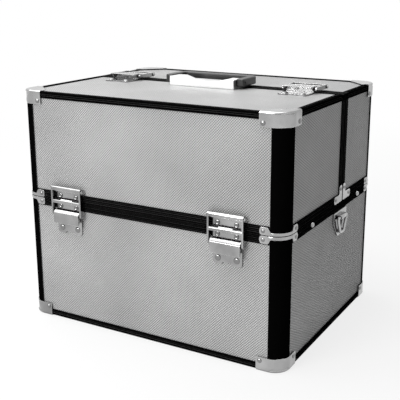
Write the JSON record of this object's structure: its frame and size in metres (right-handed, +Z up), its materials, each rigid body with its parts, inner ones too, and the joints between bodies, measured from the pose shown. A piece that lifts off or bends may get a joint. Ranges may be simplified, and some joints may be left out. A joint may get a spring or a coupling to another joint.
{
  "type": "makeup train case",
  "caption": "Framed makeup train case with a lower box, a front and a rear lid that split across the top, draw latches, folding handle, hanger rings and rising trays.",
  "frame": {"origin": "centre of the case's footprint, on the plane of the floor it stands on", "axes": "+X to the right side, -Y out of the front with the two latches, +Z up"},
  "size_m": [0.3812, 0.3024, 0.3113],
  "materials": {
    "board_laminate": "silver laminate embossed with a fine diagonal weave, over fibre board",
    "profile_black": "black coated aluminium profile with rolled grooves",
    "bright_metal": "bright nickel-plated pressed steel",
    "pin_steel": "bright steel wire",
    "arm_steel": "zinc-plated steel strip",
    "lining_cloth": "black flocked cloth on foam",
    "grip_plastic": "black moulded grip",
    "tray_plastic": "dark grey moulded tray"
  },
  "bodies": {
    "base": {"base_front_panel": "board_laminate", "base_back_panel": "board_laminate", "base_side_panels": "board_laminate", "base_floor_panel": "board_laminate", "base_edging": "profile_black", "base_posts": "profile_black", "base_rim": "profile_black", "base_caps": "bright_metal", "base_brackets": "bright_metal", "base_rivets": "bright_metal", "base_lining": "lining_cloth", "front_latch_plates": "bright_metal", "front_lever_pins": "pin_steel", "rear_hinge_lower": "bright_metal", "rear_hinge_pins": "pin_steel", "hanger_plates": "bright_metal", "arm_screws": "bright_metal"},
    "front_lid": {"front_lid_top_panel": "board_laminate", "front_lid_front_panel": "board_laminate", "front_lid_side_panels": "board_laminate", "front_lid_edging": "profile_black", "front_lid_posts": "profile_black", "front_lid_frame": "profile_black", "front_lid_caps": "bright_metal", "front_lid_brackets": "bright_metal", "front_lid_rivets": "bright_metal", "front_lid_lining": "lining_cloth", "front_catch_plates": "bright_metal", "front_strap_pins": "pin_steel", "top_latch_plates": "bright_metal", "top_lever_pins": "pin_steel", "handle_plate": "bright_metal", "handle_pins": "pin_steel"},
    "rear_lid": {"rear_lid_top_panel": "board_laminate", "rear_lid_back_panel": "board_laminate", "rear_lid_side_panels": "board_laminate", "rear_lid_edging": "profile_black", "rear_lid_posts": "profile_black", "rear_lid_frame": "profile_black", "rear_lid_caps": "bright_metal", "rear_lid_brackets": "bright_metal", "rear_lid_rivets": "bright_metal", "rear_lid_lining": "lining_cloth", "top_catch_plates": "bright_metal", "top_strap_pins": "pin_steel", "rear_hinge_upper": "bright_metal"},
    "front_lever_left": {"front_lever_left": "bright_metal"},
    "front_lever_right": {"front_lever_right": "bright_metal"},
    "front_strap_left": {"front_strap_left": "bright_metal"},
    "front_strap_right": {"front_strap_right": "bright_metal"},
    "top_lever_left": {"top_lever_left": "bright_metal"},
    "top_lever_right": {"top_lever_right": "bright_metal"},
    "top_straps": {"top_straps": "bright_metal"},
    "handle_grip": {"handle_grip": "grip_plastic"},
    "ring_left": {"ring_left": "bright_metal"},
    "ring_right": {"ring_right": "bright_metal"},
    "tray_arms_front": {"tray_arms_front": "arm_steel"},
    "tray_arms_rear": {"tray_arms_rear": "arm_steel"},
    "tray_lower": {"tray_lower": "tray_plastic"},
    "tray_upper": {"tray_upper": "tray_plastic"}
  },
  "joints": [
    {"name": "rear_lid_hinge", "type": "hinge", "parent": "base", "child": "rear_lid", "pos_m": [0, 0.1474, 0.163], "axis": [-1, 0, 0], "range_deg": [0, 95]},
    {"name": "front_lid_hinge", "type": "hinge", "parent": "rear_lid", "child": "front_lid", "pos_m": [0, 0.0425, 0.303], "axis": [-1, 0, 0], "range_deg": [0, 100]},
    {"name": "top_strap_hinge", "type": "hinge", "parent": "rear_lid", "child": "top_straps", "pos_m": [0, 0.0425, 0.303], "axis": [-1, 0, 0], "range_deg": [0, 100]},
    {"name": "front_strap_left_pivot", "type": "hinge", "parent": "front_lid", "child": "front_strap_left", "pos_m": [-0.113, -0.148, 0.1785], "axis": [-1, 0, 0], "range_deg": [0, 60]},
    {"name": "front_strap_right_pivot", "type": "hinge", "parent": "front_lid", "child": "front_strap_right", "pos_m": [0.113, -0.148, 0.1785], "axis": [-1, 0, 0], "range_deg": [0, 60]},
    {"name": "front_lever_left_pivot", "type": "hinge", "parent": "base", "child": "front_lever_left", "pos_m": [-0.113, -0.1488, 0.1485], "axis": [-1, 0, 0], "range_deg": [0, 90]},
    {"name": "front_lever_right_pivot", "type": "hinge", "parent": "base", "child": "front_lever_right", "pos_m": [0.113, -0.1488, 0.1485], "axis": [-1, 0, 0], "range_deg": [0, 90]},
    {"name": "top_lever_left_pivot", "type": "hinge", "parent": "front_lid", "child": "top_lever_left", "pos_m": [-0.13, 0.0125, 0.3038], "axis": [-1, 0, 0], "range_deg": [0, 90]},
    {"name": "top_lever_right_pivot", "type": "hinge", "parent": "front_lid", "child": "top_lever_right", "pos_m": [0.13, 0.0125, 0.3038], "axis": [-1, 0, 0], "range_deg": [0, 90]},
    {"name": "handle_grip_pivot", "type": "hinge", "parent": "front_lid", "child": "handle_grip", "pos_m": [0, 0.004, 0.3063], "axis": [1, 0, 0], "range_deg": [0, 95]},
    {"name": "ring_right_pivot", "type": "hinge", "parent": "base", "child": "ring_right", "pos_m": [0.1876, 0.023, 0.1442], "axis": [0, -1, 0], "range_deg": [0, 95]},
    {"name": "ring_left_pivot", "type": "hinge", "parent": "base", "child": "ring_left", "pos_m": [-0.1876, 0.023, 0.1442], "axis": [0, 1, 0], "range_deg": [0, 95]},
    {"name": "tray_arms_front_pivot", "type": "hinge", "parent": "base", "child": "tray_arms_front", "pos_m": [0, -0.068, 0.15765], "axis": [-1, 0, 0], "range_deg": [0, 95]},
    {"name": "tray_arms_rear_pivot", "type": "hinge", "parent": "base", "child": "tray_arms_rear", "pos_m": [0, 0.087, 0.15765], "axis": [-1, 0, 0], "range_deg": [0, 95]},
    {"name": "tray_lower_pivot", "type": "hinge", "parent": "tray_arms_front", "child": "tray_lower", "pos_m": [0, -0.09773, 0.18441], "axis": [-1, 0, 0], "range_deg": [-95, 0]},
    {"name": "tray_upper_pivot", "type": "hinge", "parent": "tray_arms_front", "child": "tray_upper", "pos_m": [0, -0.12671, 0.21051], "axis": [-1, 0, 0], "range_deg": [-95, 0]}
  ],
  "couplings": [
    {"joint": "top_strap_hinge", "follows": "front_lid_hinge", "ratio": 1},
    {"joint": "tray_arms_front_pivot", "follows": "rear_lid_hinge", "ratio": 1},
    {"joint": "tray_arms_rear_pivot", "follows": "rear_lid_hinge", "ratio": 1},
    {"joint": "tray_lower_pivot", "follows": "rear_lid_hinge", "ratio": -1},
    {"joint": "tray_upper_pivot", "follows": "rear_lid_hinge", "ratio": -1}
  ]
}
